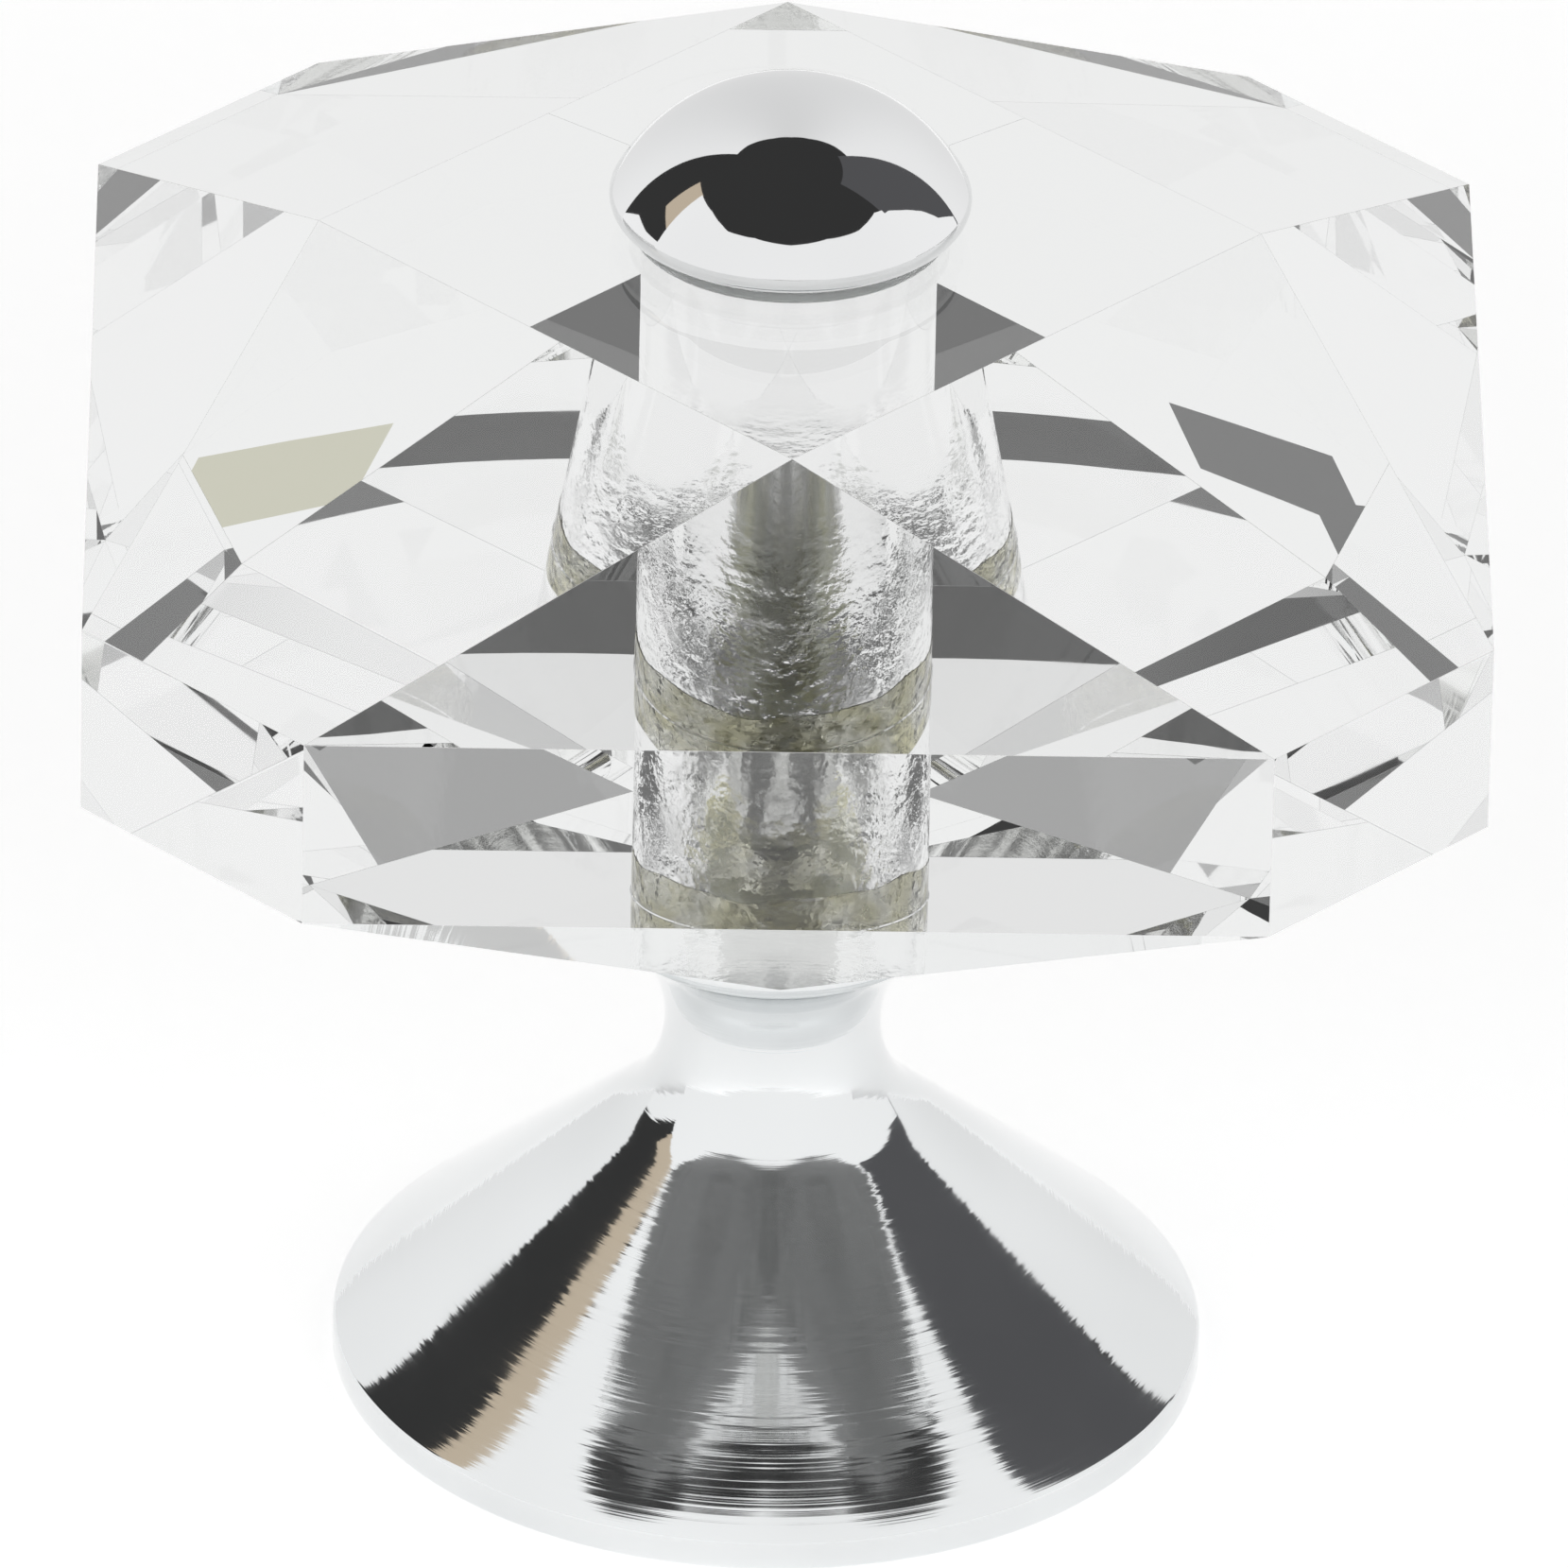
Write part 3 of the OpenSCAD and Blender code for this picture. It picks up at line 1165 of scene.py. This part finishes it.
@dataclass
class Studio:
    """The cards that the chrome mirrors, what the crystal lets through, the floor and the camera.

    The chrome sees a low white front screen with a falling and a rising end, a tall white back wall, a tan
    and a grey card between them, and a dark room above. Light that leaves the crystal sees an even pale
    surround with darker zones, and a few strips behind the knob. Angles are in degrees. A bearing of 0 is the
    camera's side, -Y, and positive bearings turn towards +X. The floor_size and the camera's distance are in
    metres.
    """

    floor_size: float = 8.0
    floor_gap: float = 0.02
    elevation: float = 30.15
    azimuth: float = -0.89
    distance: float = 0.799
    roll: float = 1.26
    lens: float = 633.1
    sensor: float = 36.0
    aim_drop: float = 9.745
    aim_side: float = 0.18
    clip: Range = (0.01, 20.0)
    bounces: int = 24
    mirror_bounces: int = 12
    screen_radius: float = 97.0
    wall_radius: float = 160.0
    room_radius: float = 400.0
    strip_radius: float = 42.0
    low_strip_radius: float = 60.0
    grey_gap: float = 5.0
    tint_gap: float = 1.0
    room_level: float = 0.04
    through_level: float = 0.86
    zone_blur: float = 1.0
    zones: tuple[Zone, ...] = (
        Zone(57.0, 95.0, -5.0, 185.0, 0.10),
        Zone(15.0, 57.0, -5.0, 70.0, 0.12),
        Zone(36.0, 48.0, 136.0, 150.0, 0.36),
        Zone(24.0, 36.0, 172.0, 185.0, 0.76),
    )

    def build(self) -> None:
        """Sets up floor, cards, room and camera."""
        self.floor()
        for card in (*self.mirrored_cards(), *self.strips()):
            card.build()
        self.room()
        self.camera()
        scene = bpy.context.scene
        scene.view_settings.view_transform = "Standard"
        scene.cycles.max_bounces = self.bounces
        scene.cycles.transmission_bounces = self.bounces
        scene.cycles.glossy_bounces = self.mirror_bounces

    def front_stops(self) -> list[Stop]:
        """Lists the stops of the front screen.

        Returns:
            The stops, closest to the knob in the middle.
        """
        near = self.screen_radius
        left = ((-88, near, 134), (-70, near, 134), (-50, near, 126), (-40, 80, 113), (-28, 58, 94))
        right = ((28, 58, 94), (40, 80, 113), (55, near, 125), (74, near, 129), (80, near, 122))
        return [Stop(bearing, radius, 0, high) for bearing, radius, high in (*left, (0, 48, 82), *right)]

    def mirrored_cards(self) -> list[Card]:
        """Lists the cards that the chrome mirrors.

        Returns:
            The front screen, its falling and rising ends, the tan end, the grey side and the back wall.
        """
        screen = CardLight("front_screen_light", level=1.05)
        wall = CardLight("back_wall_light", level=1.0, middle=0.82)
        tan = CardLight("tan_end_light", tint=(0.62, 0.52, 0.40))
        grey = CardLight("side_grey_light", tint=(0.10, 0.10, 0.105))
        far, room = self.wall_radius, self.room_radius
        behind = room + self.grey_gap
        falling = ((80, 365), (85, 353), (95, 272), (103, 203), (110, 126), (121, 62))
        rising = ((-150, 30), (-125, 41), (-112, 110), (-88, 130))
        back = ((121, 322), (135, 350), (160, 420), (180, 440), (200, 420), (225, 350), (238, 330))
        return [
            Card("front_screen", self.front_stops(), screen),
            Card("screen_falling", [Stop(bearing, room, 0, high) for bearing, high in falling], screen),
            Card("screen_rising", [Stop(bearing, room, 0, high) for bearing, high in rising], screen),
            Card("tan_end", [Stop(-101, room, 230, 440), Stop(-88, room, 190, 440)], tan),
            Card("side_grey", [Stop(80, behind, 0, 900), Stop(122, behind, 0, 900)], grey),
            Card("back_wall", [Stop(bearing, far, 0, high) for bearing, high in back], wall),
        ]

    def strips(self) -> list[Card]:
        """Lists the strips behind the knob that only light leaving the crystal sees.

        Returns:
            The low dark strip, the dark one at the right, the olive one, the middle and the upper one.
        """
        shade = CardLight("dark_strip_light", level=0.12)
        olive = CardLight("olive_strip_light", tint=(0.56, 0.55, 0.44))
        near, far = self.strip_radius, self.low_strip_radius
        tinted = far + self.tint_gap
        middle = ((155, 42.6, 44.9), (166, 43.6, 46.1), (180, 43.9, 46.9))
        middle += ((194, 43.6, 46.1), (205, 42.6, 44.9))
        upper = ((168, 56.0, 58.5), (180, 56.2, 58.7), (192, 56.0, 58.5))
        strips = (
            ("low_dark_strip", [Stop(171, far, -13.0, -6.6), Stop(189, far, -13.0, -6.6)], shade),
            ("right_dark_strip", [Stop(188, tinted, -8.0, -5.6), Stop(192, tinted, -6.4, -4.4)], shade),
            ("olive_strip", [Stop(166, tinted, -6.5, -4.2), Stop(171, tinted, -7.5, -4.9)], olive),
            ("middle_dark_strip", [Stop(bearing, near, low, high) for bearing, low, high in middle], shade),
            ("upper_dark_strip", [Stop(bearing, near, low, high) for bearing, low, high in upper], shade),
        )
        return [Card(name, stops, light, mirrored=False) for name, stops, light in strips]

    def floor(self) -> None:
        """Lays the pale floor at the height of the foot's face."""
        half = self.floor_size / 2
        shape = bmesh.new()
        corners = [(-half, -half), (half, -half), (half, half), (-half, half)]
        height = cad_box[0].z - self.floor_gap * MM
        shape.faces.new([shape.verts.new((x, y, height)) for x, y in corners])
        floor = finished("pale_floor", shape, smooth=False)
        floor.data.materials.append(FLOOR.material())
        floor.visible_transmission = False

    def camera(self) -> None:
        """Aims the camera from in front and above, with a slight lean."""
        low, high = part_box("crystal_head")
        turn, tilt = math.radians(self.azimuth), math.radians(self.elevation)
        back = Vector((math.sin(turn) * math.cos(tilt), -math.cos(turn) * math.cos(tilt), math.sin(tilt)))
        aim = (low + high) / 2 + Vector((self.aim_side * MM, 0.0, -self.aim_drop * MM))
        data = bpy.data.cameras.new("camera")
        data.lens = self.lens
        data.sensor_width = self.sensor
        data.clip_start, data.clip_end = self.clip
        camera = bpy.data.objects.new("camera", data)
        camera.rotation_mode = "QUATERNION"
        lean = Quaternion(Vector((0.0, 0.0, 1.0)), math.radians(self.roll))
        camera.rotation_quaternion = (-back).to_track_quat("-Z", "Y") @ lean
        camera.location = aim + back * self.distance
        bpy.context.scene.collection.objects.link(camera)
        bpy.context.scene.camera = camera

    def zoned(self, graph: Graph, height: Any, bearing: Any, zone: Zone) -> Any:
        """Works out how much a zone changes the level of a direction.

        Args:
            graph: The world's graph.
            height: The socket of the direction's height, in radians.
            bearing: The socket of its bearing on either side, in radians.
            zone: The zone.

        Returns:
            The socket of the change.
        """
        soft = math.radians(self.zone_blur)
        inside: Any = zone.level - self.through_level
        for angle, first, last in ((height, zone.low, zone.high), (bearing, zone.near, zone.far)):
            start, end = math.radians(first), math.radians(last)
            inside = graph.maths("MULTIPLY", inside, graph.ramp(angle, start - soft, start + soft))
            inside = graph.maths("MULTIPLY", inside, graph.ramp(angle, end - soft, end + soft, 1.0, 0.0))
        return inside

    def room(self) -> None:
        """Makes the room: dark for the chrome, pale with zones through the crystal, white behind the knob."""
        world = bpy.data.worlds.new("studio_room")
        bpy.context.scene.world = world
        world.use_nodes = True
        graph = Graph(world.node_tree)
        path = graph.add("ShaderNodeLightPath").outputs
        where = graph.add("ShaderNodeTexCoord").outputs["Generated"]
        part = graph.add("ShaderNodeSeparateXYZ", {0: where}).outputs
        height = graph.maths("ARCSINE", part[2])
        forward = graph.maths("MULTIPLY", part[1], -1.0)
        bearing = graph.maths("ABSOLUTE", graph.maths("ARCTAN2", part[0], forward))
        level: Any = self.through_level
        for zone in self.zones:
            level = graph.maths("ADD", level, self.zoned(graph, height, bearing, zone))
        level = graph.maths("MAXIMUM", level, self.room_level)
        through = graph.add("ShaderNodeCombineXYZ", {0: level, 1: level, 2: level}).outputs[0]
        colour = graph.blend(path["Is Transmission Ray"], (self.room_level,) * 3, through)
        colour = graph.blend(path["Is Camera Ray"], colour, WHITE)
        light = graph.add("ShaderNodeBackground", {"Color": colour, "Strength": 1.0}).outputs[0]
        graph.add("ShaderNodeOutputWorld", {"Surface": light})


def main() -> None:
    """Builds the knob and its studio, and reports each piece."""
    logging.basicConfig(level=logging.INFO, format="%(name)s: %(message)s")
    Studio().build()
    assemblies: Iterable[SubAssembly] = (
        TurnedFoot(),
        SoftWasher("seat_washer_ring", "seat_washer", 2.1),
        CutCrystal(),
        AdhesiveRing(),
        CrystalBolt(),
        SoftWasher("cap_washer_ring", "cap_washer", 2.7),
        DomedCap(),
    )
    count = 0
    for assembly in assemblies:
        assembly.build()
        count += len(assembly.pieces)
    log.info("%d pieces", count)


if __name__ == "__main__":
    main()
